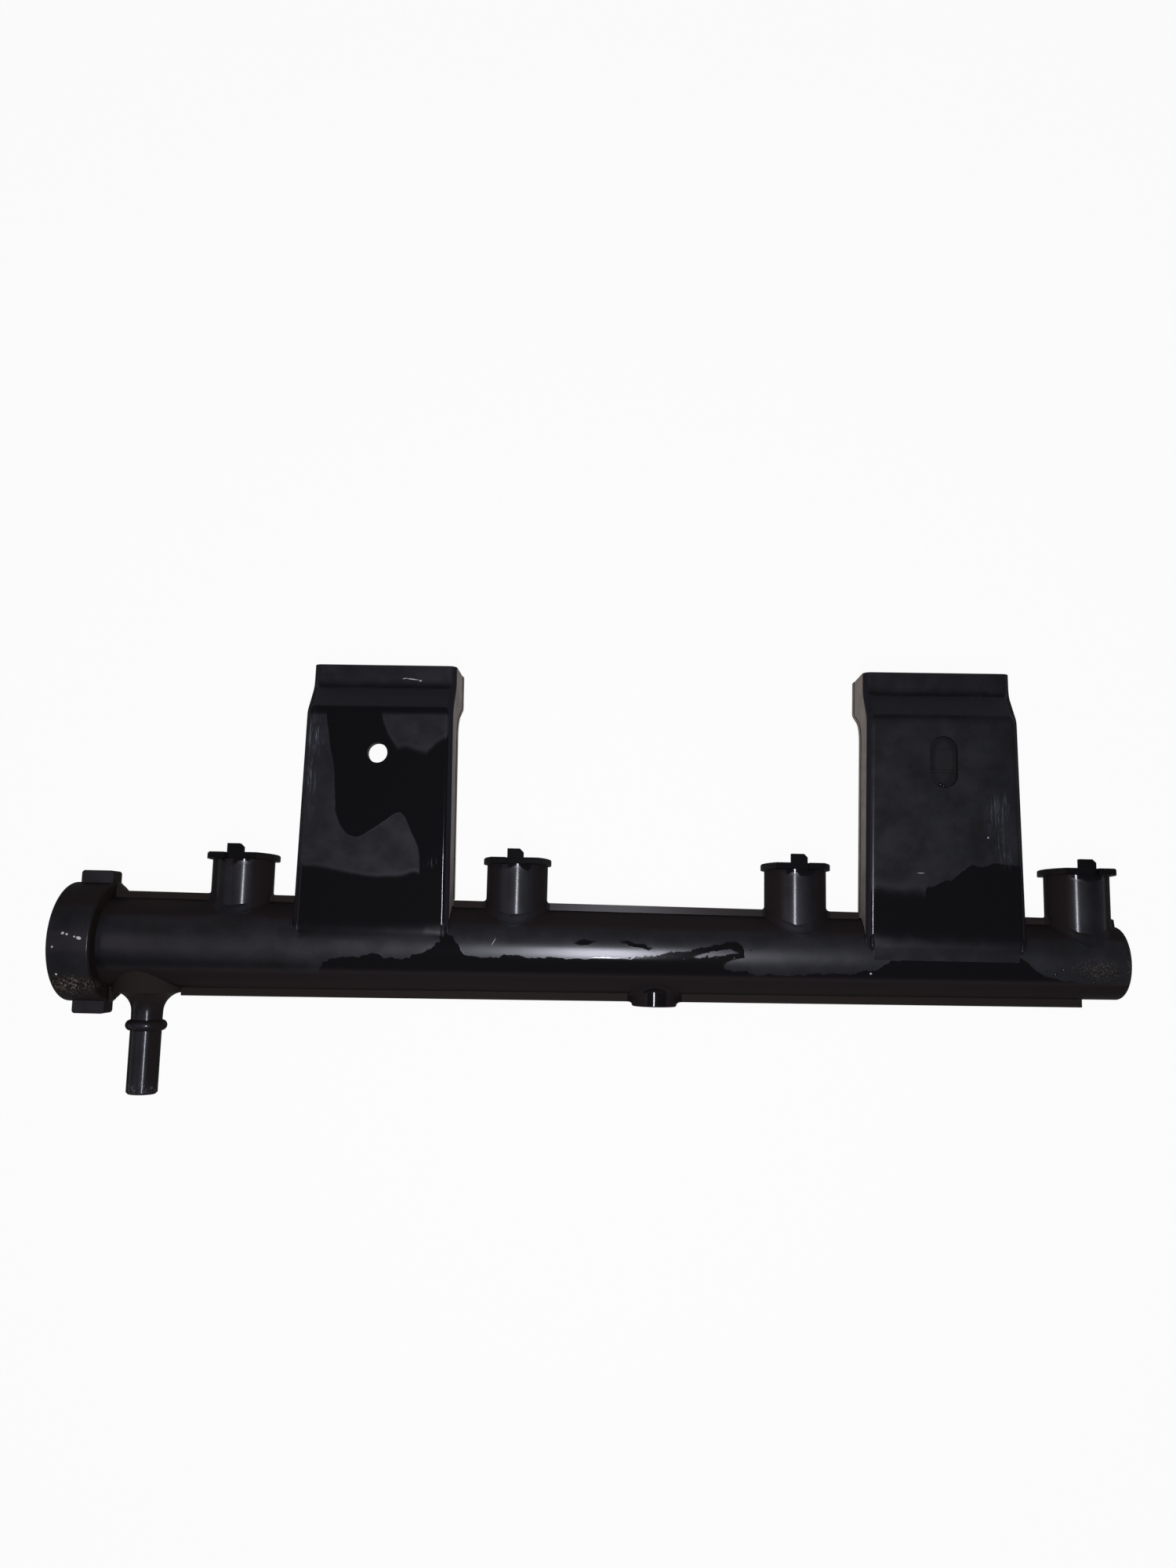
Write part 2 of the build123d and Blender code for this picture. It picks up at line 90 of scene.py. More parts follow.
def ovals(material, place, spots, edge):
    """A mask of ovals in the X-Y plane: (x, y, half length, half height, turn in degrees), in mm.
    Edge is half the width of their soft rim, in mm."""
    widest_fade = 0.9       # of the oval's half height
    masks = []
    for x, y, half_length, half_height, turn in spots:
        local = add_node(material, "ShaderNodeMapping", {
            "Vector": place, "Location": (x * MM, y * MM, 0.0), "Rotation": (0.0, 0.0, math.radians(turn)),
            "Scale": (half_length * MM, half_height * MM, 1.0)}, vector_type="TEXTURE")
        flat = add_node(material, "ShaderNodeVectorMath", {0: local.outputs[0], 1: (1.0, 1.0, 0.0)},
                        operation="MULTIPLY")
        reach = add_node(material, "ShaderNodeVectorMath", {0: flat.outputs[0]}, operation="LENGTH")
        fade = min(widest_fade, edge / min(half_length, half_height))
        masks.append(add_node(material, "ShaderNodeMapRange", {
            "Value": reach.outputs["Value"], "From Min": 1.0 - fade, "From Max": 1.0 + fade,
            "To Min": 1.0, "To Max": 0.0}, interpolation_type="SMOOTHSTEP").outputs[0])
    return joined(material, "MAXIMUM", *masks)


def side_of_line(material, place, side, points, edge):
    """A mask of what lies on one side of a line drawn through (x, y) points in millimetres.
    Side is -1 for what is under the line and 1 for what is over it. Edge is half the width of the
    mask's soft rim. The points can't all have the same height."""
    xs, ys = [x for x, y in points], [y for x, y in points]
    axes = add_node(material, "ShaderNodeSeparateXYZ", {0: place})
    share = add_node(material, "ShaderNodeMapRange", {
        "Value": axes.outputs["X"], "From Min": xs[0] * MM, "From Max": xs[-1] * MM})
    line = add_node(material, "ShaderNodeFloatCurve", {"Value": share.outputs[0]})
    curve = line.mapping.curves[0]
    spots = [((x - xs[0]) / (xs[-1] - xs[0]), (y - min(ys)) / (max(ys) - min(ys))) for x, y in points]
    curve.points[0].location, curve.points[1].location = spots[0], spots[-1]
    for spot in spots[1:-1]:
        curve.points.new(*spot)
    for point in curve.points:
        point.handle_type = "VECTOR"
    line.mapping.update()
    height = add_node(material, "ShaderNodeMapRange", {
        "Value": line.outputs[0], "To Min": min(ys) * MM, "To Max": max(ys) * MM})
    above = add_node(material, "ShaderNodeMath", {0: axes.outputs["Y"], 1: height.outputs[0]},
                     operation="SUBTRACT")
    return add_node(material, "ShaderNodeMapRange", {
        "Value": above.outputs[0], "From Min": -side * edge * MM, "From Max": side * edge * MM},
        interpolation_type="SMOOTHSTEP").outputs[0]


def black_enamel(name, oil=None, matte_brown=None, shade=None, satin=0.66, gloss=0.4, gloss_rough=0.2,
                 wander=1.6, wander_size=7.0, scuffs=(), stroke=1.0, scuff_share=0.8,
                 scuff_colour="#8c8984", chips=(), rim_reflection_colour="#241f1f", side_reflection_colour="#2a2421",
                 side_shine=0.08):
    """Black dipped enamel on steel: a satin body under a thin gloss skin. Oil is a function that draws
    the mask of where oil lies, a second function draws where the enamel is dull and brown, and shade
    draws painted shade where sideways faces stay dark. The edges of oil and scuffs wander by so many
    millimetres, in waves of wander_size. Scuffs are ovals of fine specks, or of upright strokes if
    stroke is over 1. Chips are small ovals that show bright metal. What faces sideways is dulled and
    painted the rim colour, a painted dim reflection of the floor, and where it faces fully sideways
    it takes the side colour, a painted reflection of the floor."""
    film_size, peel_size, speck_size = 10 * MM, 1.5 * MM, 0.7 * MM
    peel_depth, oil_depth = 0.02 * MM, 0.02 * MM
    oil_rough, dull_rough, scuff_rough, chip_rough = 0.1, 0.8, 0.6, 0.5
    film_change = 0.05                      # of the roughness, from clean to handled enamel
    clean_shine, dull_shine = 0.5, 0.08    # levels of the shader's specular
    dull_starts, dull_full = 0.92, 0.76     # how much of the surface's normal is along Z
    side_starts, side_full = 0.35, 0.1
    noise_swing = 0.25                      # how far the noise strays from its middle
    material, output = new_material(name)
    coordinates = add_node(material, "ShaderNodeTexCoord")
    place = coordinates.outputs["Object"]
    # The edges of oil and wear wander in broad waves, with a finer raggedness on them.
    drift = add_node(material, "ShaderNodeTexNoise", {
        "Vector": place, "Scale": 1 / (wander_size * MM), "Detail": 5.0, "Roughness": 0.62})
    centred = add_node(material, "ShaderNodeVectorMath", {0: drift.outputs["Color"], 1: (0.5, 0.5, 0.5)},
                       operation="SUBTRACT")
    offset = add_node(material, "ShaderNodeVectorMath", {
        0: centred.outputs[0], "Scale": wander / noise_swing * MM}, operation="SCALE")
    wandered = add_node(material, "ShaderNodeVectorMath", {0: place, 1: offset.outputs[0]}, operation="ADD")
    # Cloudy handling film on the dry enamel.
    noise_film = add_node(material, "ShaderNodeTexNoise", {
        "Vector": place, "Scale": 1 / film_size, "Detail": 5.0, "Roughness": 0.6})
    film = add_node(material, "ShaderNodeMapRange", {
        "Value": noise_film.outputs["Fac"], "From Min": 0.35, "From Max": 0.65}).outputs[0]
    colour = add_node(material, "ShaderNodeMix", {
        "Factor": film, "A": linear_colour("#060608"), "B": linear_colour("#19191f")},
        data_type="RGBA").outputs["Result"]
    rough = add_node(material, "ShaderNodeMapRange", {
        "Value": film, "To Min": satin + film_change, "To Max": satin - film_change}).outputs[0]
    # Orange peel of dipped enamel, some microns deep in truth and drawn deeper so that it shows.
    peel = add_node(material, "ShaderNodeTexNoise", {
        "Vector": place, "Scale": 1 / peel_size, "Detail": 2.0, "Roughness": 0.5})
    surface = add_node(material, "ShaderNodeBump", {
        "Height": peel.outputs["Fac"], "Strength": 0.25, "Distance": peel_depth})
    if oil:
        # The oil stands a little proud, so its rim catches the lamp.
        wet = oil(material, wandered.outputs[0])
        colour = add_node(material, "ShaderNodeMix", {
            "Factor": wet, "A": colour, "B": linear_colour("#110f11")}, data_type="RGBA").outputs["Result"]
        rough = add_node(material, "ShaderNodeMix", {"Factor": wet, "A": rough, "B": oil_rough},
                         data_type="FLOAT").outputs["Result"]
        surface = add_node(material, "ShaderNodeBump", {
            "Height": wet, "Strength": 1.0, "Distance": oil_depth, "Normal": surface.outputs[0]})
    # Painted reflection on what faces sideways or down: it is dulled and takes a dark brown that stands
    # in for the floor's dim reflection. It has hardly any shine of its own.
    facing = add_node(material, "ShaderNodeSeparateXYZ", {0: coordinates.outputs["Normal"]})
    dull_share = add_node(material, "ShaderNodeMapRange", {
        "Value": facing.outputs["Z"], "From Min": dull_starts, "From Max": dull_full},
        interpolation_type="SMOOTHSTEP").outputs[0]
    sideways = add_node(material, "ShaderNodeMapRange", {
        "Value": facing.outputs["Z"], "From Min": side_starts, "From Max": side_full},
        interpolation_type="SMOOTHSTEP")
    # Fully sideways faces take the side colour, a painted reflection of the floor, in random patches.
    patchy = add_node(material, "ShaderNodeMix", {
        "Factor": drift.outputs["Fac"], "A": linear_colour("#8f8a86"), "B": linear_colour("#ffffff")},
        data_type="RGBA")
    side_reflection_tone = add_node(material, "ShaderNodeMix", {
        "Factor": 1.0, "A": linear_colour(side_reflection_colour), "B": patchy.outputs["Result"]},
        data_type="RGBA", blend_type="MULTIPLY")
    rim_tone = add_node(material, "ShaderNodeMix", {
        "Factor": sideways.outputs[0], "A": linear_colour(rim_reflection_colour), "B": side_reflection_tone.outputs["Result"]},
        data_type="RGBA").outputs["Result"]
    # A dull brown from the mask passed in here. On the barrel's flanges it is a painted dim reflection of the
    # floor.
    if matte_brown:
        dark = matte_brown(material, place)
        rim_tone = add_node(material, "ShaderNodeMix", {
            "Factor": dark, "A": rim_tone, "B": linear_colour("#2c2623")}, data_type="RGBA").outputs["Result"]
        dull_share = joined(material, "MAXIMUM", dull_share, dark)
    # Painted shade: the walls of the holes are turned near black.
    if shade:
        dark = shade(material, place)
        rim_tone = add_node(material, "ShaderNodeMix", {
            "Factor": dark, "A": rim_tone, "B": linear_colour("#141110")}, data_type="RGBA").outputs["Result"]
    colour = add_node(material, "ShaderNodeMix", {
        "Factor": dull_share, "A": colour, "B": rim_tone}, data_type="RGBA").outputs["Result"]
    rough = add_node(material, "ShaderNodeMix", {"Factor": dull_share, "A": rough, "B": dull_rough},
                     data_type="FLOAT").outputs["Result"]
    dulled = add_node(material, "ShaderNodeMapRange", {
        "Value": dull_share, "To Min": clean_shine, "To Max": dull_shine})
    shine = add_node(material, "ShaderNodeMix", {
        "Factor": sideways.outputs[0], "A": dulled.outputs[0], "B": side_shine}, data_type="FLOAT")
    # The dulled faces and the oil both cover the gloss skin.
    covered = joined(material, "MAXIMUM", dull_share, wet) if oil else dull_share
    coat = add_node(material, "ShaderNodeMapRange", {"Value": covered, "To Min": gloss, "To Max": 0.0})
    if scuffs:
        # Fine specks, or strokes as wide and some millimetres long.
        stretched = add_node(material, "ShaderNodeMapping", {"Vector": place, "Scale": (1.0, 1 / stroke, 1.0)})
        specks = add_node(material, "ShaderNodeTexNoise", {
            "Vector": stretched.outputs[0], "Scale": 1 / speck_size, "Detail": 3.0, "Roughness": 0.7})
        strong = add_node(material, "ShaderNodeMapRange", {
            "Value": specks.outputs["Fac"], "From Min": 0.5, "From Max": 0.72, "To Max": scuff_share})
        worn = joined(material, "MULTIPLY", strong.outputs[0],
                      ovals(material, wandered.outputs[0], scuffs, 1.6))
        colour = add_node(material, "ShaderNodeMix", {
            "Factor": worn, "A": colour, "B": linear_colour(scuff_colour)}, data_type="RGBA").outputs["Result"]
        rough = add_node(material, "ShaderNodeMix", {"Factor": worn, "A": rough, "B": scuff_rough},
                         data_type="FLOAT").outputs["Result"]
    if chips:
        bare = ovals(material, place, chips, 0.1)
        colour = add_node(material, "ShaderNodeMix", {
            "Factor": bare, "A": colour, "B": linear_colour("#d8d5cf")}, data_type="RGBA").outputs["Result"]
        rough = add_node(material, "ShaderNodeMix", {"Factor": bare, "A": rough, "B": chip_rough},
                         data_type="FLOAT").outputs["Result"]
    enamel = add_node(material, "ShaderNodeBsdfPrincipled", {
        "Base Color": colour, "Roughness": rough, "Metallic": 0.0, "IOR": 1.36,
        "Specular IOR Level": shine.outputs["Result"], "Coat Weight": coat.outputs[0],
        "Coat Roughness": gloss_rough, "Normal": surface.outputs[0]})
    material.node_tree.links.new(enamel.outputs[0], output.inputs["Surface"])
    return material


def wear_material(node_names, material):
    """Gives CAD nodes a material in every slot."""
    for name in node_names:
        for slot in nodes[name].material_slots:
            slot.material = material


def oil_on_barrel(material, place):
    """Oil along the lower front, up in a wedge beside the left bracket, and in streaks at the middle."""
    low = side_of_line(material, place, -1, [
        (-40, -78), (-24, -75), (-16, -69), (-12, -63.8), (-1.8, -62.8), (2.2, -62.1), (5.4, -63.6),
        (12.5, -63.3), (13.3, -62.2), (17.2, -61.2), (19.6, -60), (21.2, -58.3), (22.4, -55), (23.2, -55),
        (26.4, -57), (28.5, -60), (29.5, -61.8), (31, -62.6), (37, -62.7), (42, -61.9), (47, -62.1),
        (60, -62), (72, -61.8), (83.6, -61.4), (91, -60.1), (99.5, -59.1), (107.9, -57), (112.5, -56),
        (114.4, -58), (114.9, -62), (115.4, -65.8), (118.7, -66.2), (130, -66.1), (149.6, -65),
        (154, -64), (159, -61.4), (166, -60), (176, -60.5), (190, -60.2), (197, -59), (200, -60.4),
        (204, -64), (212, -66), (240, -67)], 0.35)
    dry = ovals(material, place, [(106.2, -60.2, 5.4, 0.7, 8), (117.5, -63.2, 8.5, 2.3, 4)], 0.3)
    low = add_node(material, "ShaderNodeMath", {0: low, 1: dry},
                   operation="SUBTRACT", use_clamp=True).outputs[0]
    streaks = ovals(material, place, [(82.4, -58.2, 5.3, 0.9, -14), (66.3, -57.6, 3.4, 0.9, 8)], 0.35)
    far_left = side_of_line(material, place, -1, [(-100, -65.5), (-20, -66.5), (-10, -70), (240, -84)], 4.0)
    return joined(material, "MAXIMUM", low, streaks, far_left)


def flange_reflection(material, place):
    """Painted dim brown reflection of the floor on the two seam flanges, which are dulled, a little thinner
    along the middle of the upper one.
    """
    thin_share = 0.86
    under = side_of_line(material, place, -1, [(-100, -74.6), (240, -71.5)], 0.3)
    over = side_of_line(material, place, 1, [(-100, -46.4), (240, -49.5)], 0.3)
    ends = side_of_line(material, place, 1, [(-100, -46.4), (41, -47.7), (44, -38), (130, -38), (134, -48.5),
                                             (240, -49.5)], 0.3)
    return joined(material, "MAXIMUM", under, ends, joined(material, "MULTIPLY", over, thin_share))


# The seam flanges carry a painted dim brown reflection of the floor.
barrel_enamel = black_enamel(
    "barrel_enamel", oil=oil_on_barrel, matte_brown=flange_reflection, satin=0.62, gloss=0.85, gloss_rough=0.26,
    wander=0.8, wander_size=4.0, scuffs=[(221.5, -62.4, 6.5, 2.4, -4)], scuff_share=0.5,
    scuff_colour="#85705e", chips=[(38.4, -57.9, 0.9, 0.07, 62), (153.2, -65.1, 0.3, 0.25, 0)])
wear_material(["front_shell", "rear_shell"], barrel_enamel)

# End plug and damper collar. A rounded plug closes the small end and a turned collar with two ears
# closes the large end, both brazed to the barrel and enamelled with it. The plug is scuffed down to
# brown primer and rust, the collar has pale chips and a beige scuff low on its rim.
plug_enamel = black_enamel(
    "end_plug_enamel", satin=0.62, scuffs=[(227, -61.6, 6, 3.4, -6), (226, -68, 4, 3, 0)],
    scuff_share=0.5, scuff_colour="#85705e", chips=[(227.6, -61.0, 0.3, 0.2, 20)])
wear_material(["end_plug"], plug_enamel)
collar_enamel = black_enamel(
    "collar_enamel", satin=0.7, scuffs=[(-91, -73.5, 5.5, 2.2, 0)], scuff_colour="#b8ab98", chips=[
        (-92.3, -58.0, 0.45, 0.35, 20), (-91.0, -58.3, 0.35, 0.3, 0), (-87.2, -59.4, 0.75, 0.45, -15),
        (-88.6, -59.0, 0.3, 0.25, 0), (-95.2, -62.2, 0.25, 0.3, 0), (-94.6, -70.5, 0.3, 0.3, 0)])
wear_material(["damper_collar"], collar_enamel)

# Injector cups. Turned steel cups with a waisted flange and an upright tab, brazed into the barrel.
# Their gloss skin is smoother than the barrel's, so the lamp draws a sharp upright line on each.


def oil_on_flanges(material, place):
    """Oil on the cups' flanges and tabs."""
    return side_of_line(material, place, 1, [(-60, -35.0), (240, -35.4)], 0.8)


# The cups' side colour is a painted dim reflection of the floor.
cup_enamel = black_enamel("cup_enamel", oil=oil_on_flanges, satin=0.62, gloss=0.35, gloss_rough=0.17,
                          side_reflection_colour="#1b1817")
wear_material([f"injector_cup_{i}" for i in (1, 2, 3, 4)], cup_enamel)
braze_enamel = black_enamel("braze_enamel", satin=0.7, gloss=0.0)
cup_places = [-44.0, 44.0, 132.0, 220.0]
cup_radius = 9.65
# The barrel that they stand on, in millimetres.
axis_y, axis_z = -60.5, -12.6
barrel_start, barrel_length = -87.2, 317.4
start_radius, end_radius = 14.2, 11.3
seam_half_thickness, upper_seam_reach, lower_seam_reach = 1.5, 2.1, 2.4
plug_edge_start, plug_edge = 230.5, 1.5


def barrel_radius(x):
    """Outer radius of the barrel and its end plug at a place along it, in millimetres."""
    past_edge = min(plug_edge, max(0.0, x - plug_edge_start))
    rounding = plug_edge - math.sqrt(plug_edge ** 2 - past_edge ** 2)
    return start_radius - (start_radius - end_radius) / barrel_length * (x - barrel_start) - rounding


def finished_piece(name, mesh, material):
    """Turns a bmesh into a smooth piece that rides with the rail."""
    sharpest_smooth = math.radians(50)
    bmesh.ops.recalc_face_normals(mesh, faces=mesh.faces)
    for face in mesh.faces:
        face.smooth = True
    data = bpy.data.meshes.new(name)
    mesh.to_mesh(data)
    mesh.free()
    data.set_sharp_from_angle(angle=sharpest_smooth)
    data.materials.append(material)
    piece = bpy.data.objects.new(name, data)
    bpy.context.scene.collection.objects.link(piece)
    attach(piece, "root")


def loft(sections, closed):
    """A skin through sections of points in millimetres, each a loop with as many points. It joins
    its last section to its first if it is closed, and has a cap on both if it isn't."""
    mesh = bmesh.new()
    rings = [[mesh.verts.new(Vector(point) * MM) for point in section] for section in sections]
    count = len(rings[0])
    for a, b in list(zip(rings, rings[1:])) + ([(rings[-1], rings[0])] if closed else []):
        for k in range(count):
            mesh.faces.new((a[k], a[(k + 1) % count], b[(k + 1) % count], b[k]))
    if not closed:
        mesh.faces.new(rings[0])
        mesh.faces.new(list(reversed(rings[-1])))
    return mesh


def post_fillet(name, centre, radius, side, seam_reach, rise, front_rise, reach, front_reach, material):
    """Braze around a post that stands on the barrel and its seam flange.
    Side is 1 towards the injectors and -1 away from them; the braze climbs higher at the front."""
    steps_round, steps, buried, ramp, unevenness, lumps = 144, 8, 0.4, 0.6, 0.22, 3
    sections = []
    for i in range(steps_round):
        turn = math.tau * i / steps_round
        swell = noise.noise(Vector((lumps * math.cos(turn) + centre, lumps * math.sin(turn), radius)))
        uneven = 1 + unevenness * swell
        front = max(0.0, math.sin(turn)) ** 1.5
        climb = (rise + (front_rise - rise) * front) * uneven
        spread = (reach + (front_reach - reach) * front) * uneven
        profile = [(-buried, climb)]
        profile += [(spread * k / steps, climb * (1 - math.sqrt(1 - (1 - k / steps) ** 2)))
                    for k in range(steps + 1)]
        profile += [(spread, -buried), (-buried, -buried)]
        section = []
        for out, up in profile:
            x, z = centre + (radius + out) * math.cos(turn), (radius + out) * math.sin(turn)
            shell = barrel_radius(x)
            height = math.sqrt(max(shell ** 2 - z ** 2, 0.0))
            on_seam = min(1.0, max(0.0, (seam_half_thickness + ramp - abs(z)) / ramp))
            height += on_seam * (shell + seam_reach - height)
            section.append((x, axis_y + side * (height + up), axis_z + z))
        sections.append(section)
    finished_piece(name, loft(sections, True), material)


for number, x in enumerate(cup_places, 1):
    post_fillet(f"cup_{number}_braze", x, cup_radius, 1, upper_seam_reach, rise=0.9, front_rise=2.5,
                reach=1.1, front_reach=0.7, material=braze_enamel)

# Inlet spigot and centre boss. A steel tube with a rolled bead, and a short solid boss, both brazed
# into the lower seam. Scuffs at the tube's end show grey steel, the enamel round its root is a dull
# brown matte, and the boss is wet with oil.
boss_place, boss_radius = 88.0, 7.0


def oil_on_boss(material, place):
    """Oil over the boss, which is to the right of the spigot."""
    return side_of_line(material, place, 1, [(-100, -60), (0, -60), (10, -79.5), (120, -79.6)], 1.5)


def root_matte(material, place):
    """A dull brown matte round the spigot's root."""
    return side_of_line(material, place, 1, [(-100, -78.5), (-60, -78.6), (-55, -60), (120, -60.1)], 1.5)


spigot_enamel = black_enamel(
    "spigot_enamel", oil=oil_on_boss, matte_brown=root_matte, satin=0.62, gloss=0.35, gloss_rough=0.17,
    scuffs=[(-72, -106, 4, 2, 0)], scuff_colour="#77777a")
wear_material(["inlet_spigot", "centre_boss"], spigot_enamel)
post_fillet("boss_braze", boss_place, boss_radius, -1, lower_seam_reach, rise=0.8, front_rise=1.4,
            reach=1.6, front_reach=1.1, material=spigot_enamel)

# Brackets. Channels pressed from 2.5 mm steel sheet with a joggled lip. Each is brazed to the barrel
# along its walls and its web, with a bead at each lower corner. Their webs are oily, and the outsides
# of their walls are painted a pale brown, a painted reflection of the lit floor.
left_hole, right_slot = 0.0, 176.0
web_face = 12.6                                     # over the barrel's axis
base_half_width, foot_half_width = 24.4, 23.0       # at the barrel and at the foot
bracket_height = 90.0


def oil_on_left_web(material, place):
    """Oil round the hole and down the right side, wiped off in an L along the left and below, with
    more along the joggle above and across the web's lower end."""
    wiped = side_of_line(material, place, -1, [
        (-30, 60), (-17.8, 45), (-16.9, 14.7), (-15.2, 4), (-13.4, -5), (-12.6, -13.6), (-12.4, -18),
        (-11, -22.4), (-8.6, -25.7), (-5.9, -26.8), (-3, -25.8), (0, -23.7), (3.9, -21), (6.4, -19),
        (8, -18.8), (9.8, -20.8), (11.3, -24), (13, -27.4), (14.3, -29.8), (14.9, -33), (15.2, -60),
        (30, -60)], 0.5)
    haze = side_of_line(material, place, 1, [
        (-30, 60), (-4, 28), (0, 16), (1.6, 10), (3.6, 5.5), (6, 1.8), (9, 2.6), (12, 1.4), (15.7, 0.6),
        (18.6, 3.8), (22, 6), (30, 8)], 2.2)
    lip = side_of_line(material, place, 1, [(-30, 22.4), (30, 22.8)], 1.5)
    joggle = side_of_line(material, place, 1, [(-30, 12.6), (-20, 12.2), (30, 12.8)], 1.6)
    crease = side_of_line(material, place, -1, [
        (-30, -35), (-18, -35.6), (-8, -37.2), (2, -38.4), (9, -38), (13, -36.8), (18, -37.4), (30, -36.6)], 1.5)
    dry = joined(material, "MAXIMUM", wiped, haze)
    wet = add_node(material, "ShaderNodeMath", {0: 1.0, 1: dry}, operation="SUBTRACT").outputs[0]
    wet = joined(material, "MAXIMUM", wet, joggle)
    wet = add_node(material, "ShaderNodeMath", {0: wet, 1: lip},
                   operation="SUBTRACT", use_clamp=True).outputs[0]
    over_foot = side_of_line(material, place, 1, [(-30, -57), (30, -56.5)], 5.5)
    return joined(material, "MINIMUM", joined(material, "MAXIMUM", wet, crease), over_foot)


def oil_on_right_web(material, place):
    """Oil across the lower web, with a sharp upper edge on the right, and along the joggle."""
    sharp = side_of_line(material, place, -1, [
        (146, -60), (168, -60), (169.5, -39.2), (171.5, -38.2), (174.5, -36.8), (178, -36.2), (180.5, -33.6),
        (183.6, -31.6), (187, -32.2), (191, -31), (197, -31.4), (206, -31.2)], 0.5)
    soft = side_of_line(material, place, -1, [(146, -38), (206, -43)], 3.5)
    over_foot = side_of_line(material, place, 1, [(146, -55.5), (206, -56.5)], 5.0)
    lower = joined(material, "MINIMUM", joined(material, "MAXIMUM", sharp, soft), over_foot)
    joggle = joined(material, "MINIMUM", side_of_line(material, place, 1, [(146, 14), (206, 14.5)], 2.0),
                    side_of_line(material, place, -1, [(146, 22.6), (206, 23)], 1.5))
    return joined(material, "MAXIMUM", lower, joggle)


def shade_in_holes(material, place):
    """Painted shade on the walls of the bolt hole and the slot."""
    return ovals(material, place, [(left_hole, 0, 4.5, 4.5, 0), (right_slot, 0, 8.0, 13.0, 0)], 0.2)


# Painted reflection: the outsides of the walls take a pale brown that stands in for the lit floor.
wall_reflection = {"rim_reflection_colour": "#242329", "side_reflection_colour": "#aba194", "side_shine": 0.7}
left_enamel = black_enamel(
    "left_bracket_enamel", oil=oil_on_left_web, shade=shade_in_holes, wander=0.5, wander_size=12.0,
    scuffs=[(-20.2, 5, 2.2, 6, 4), (-20.8, -8, 1.4, 8, 4), (18.2, -34.2, 1.6, 1.0, 40)], stroke=12.0,
    scuff_share=0.5, scuff_colour="#8a8f9a",
    chips=[(9.0, 25.0, 1.6, 0.12, -6), (11.6, 24.5, 0.4, 0.18, 0), (6.5, 25.2, 0.5, 0.1, 10)], **wall_reflection)
right_enamel = black_enamel(
    "right_bracket_enamel", oil=oil_on_right_web, shade=shade_in_holes, wander=0.8, wander_size=6.0,
    satin=0.7, scuffs=[(192.0, -15, 3.0, 5, -20), (193.2, -25.5, 1.7, 5.5, 8)], stroke=12.0,
    scuff_share=0.4, scuff_colour="#7c808a",
    chips=[(168.4, -34.4, 0.8, 0.08, 0), (189.0, -23.2, 0.2, 0.2, 0)], **wall_reflection)
wear_material(["left_bracket"], left_enamel)
wear_material(["right_bracket"], right_enamel)


def web_apron(name, centre, web_end, material):
    """The braze that carries the flat web over into the round barrel, as one smooth surface.
    Heights are over the barrel's axis; the web ends at web_end."""
    columns, rows, rim_rows = 60, 48, 8
    half_width, thickness, top = 21.9, 0.5, 10.0
    fade_length, bottom, flat_from = 5.0, web_end - 3.5, web_end + 1.0
    roundest, sharpest = 0.6, 0.05      # how softly the web's edge melts in, at the middle and the sides
    lift, sink = 0.03, 0.025            # keeps it just over the web, and its rim just under it
    sections = []
    for i in range(columns + 1):
        x = centre + half_width * (2 * i / columns - 1)
        side_fade = max(0.0, min(1.0, (half_width - abs(x - centre)) / fade_length))
        surface = []
        for k in range(rows + 1):
            height = top + (bottom - top) * k / rows
            shell = math.sqrt(barrel_radius(x) ** 2 - height ** 2)
            run = max(0.0, min(1.0, (height - bottom) / (flat_from - bottom)))
            share = run * run * (3 - 2 * run)
            step, blend = web_face - shell, roundest * side_fade + sharpest
            rise = shell + share * 0.5 * (step + math.sqrt(step ** 2 + blend ** 2))
            cover = min(1.0, k / rim_rows, (rows - k) / rim_rows, side_fade * 3)
            flush = max(shell, web_face) if share == 1.0 else max(shell, shell + share * step)
            rise = flush + (rise - flush + lift) * max(0.0, cover) ** 0.5 - sink
            surface.append((x, axis_y + height, axis_z + rise))
        sections.append(surface + [(x, y, z - thickness) for x, y, z in reversed(surface)])
    finished_piece(name, loft(sections, False), material)


def wall_fillet(name, centre, side, width, material):
    """Braze along one side wall, from the web's lower corner round to the seam flange."""
    rounds, steps, buried, unevenness, lump_size = 40, 6, 0.4, 0.35, 2.5
    first_turn, last_turn = 22, 83      # degrees round the barrel, from its front
    end_share, taper_rounds = 0.3, 6    # it starts and ends thinner
    sections = []
    for i in range(rounds + 1):
        turn = math.radians(first_turn + (last_turn - first_turn) * i / rounds)
        height = barrel_radius(centre) * math.sin(turn)
        x = centre + side * (base_half_width - (base_half_width - foot_half_width) * height / bracket_height)
        normal = Vector((0, math.sin(turn), math.cos(turn)))
        corner = Vector((x, axis_y, axis_z)) + normal * barrel_radius(x)
        out = Vector((side, 0, 0))
        taper = min(1.0, end_share + min(i, rounds - i) / taper_rounds)
        grown = width * (1 + unevenness * noise.noise(corner / lump_size)) * taper
        section = [corner - buried * (normal + out), corner - buried * out + normal * grown]
        section += [corner + normal * grown * (1 - k / steps) ** 2 + out * grown * (k / steps) ** 2
                    for k in range(steps + 1)]
        sections.append(section + [corner + out * grown - buried * normal])
    finished_piece(name, loft(sections, False), material)


def braze_bead(name, x, y, z, length, width, material):
    """A drop of braze that ran out at the web's lower corner, thicker at its lower end."""
    middle, slimming, unevenness, lumps = 0.72, 0.28, 0.25, 1.3
    mesh = bmesh.new()
    bmesh.ops.create_icosphere(mesh, subdivisions=4, radius=1.0)
    for vert in mesh.verts:
        swell = 1 + unevenness * noise.noise(vert.co * lumps + Vector((x, y, z)))
        taper = width * swell * (middle - slimming * vert.co.y)
        vert.co = Vector((x + vert.co.x * taper, y + vert.co.y * length, z + vert.co.z * taper)) * MM
    finished_piece(name, mesh, material)


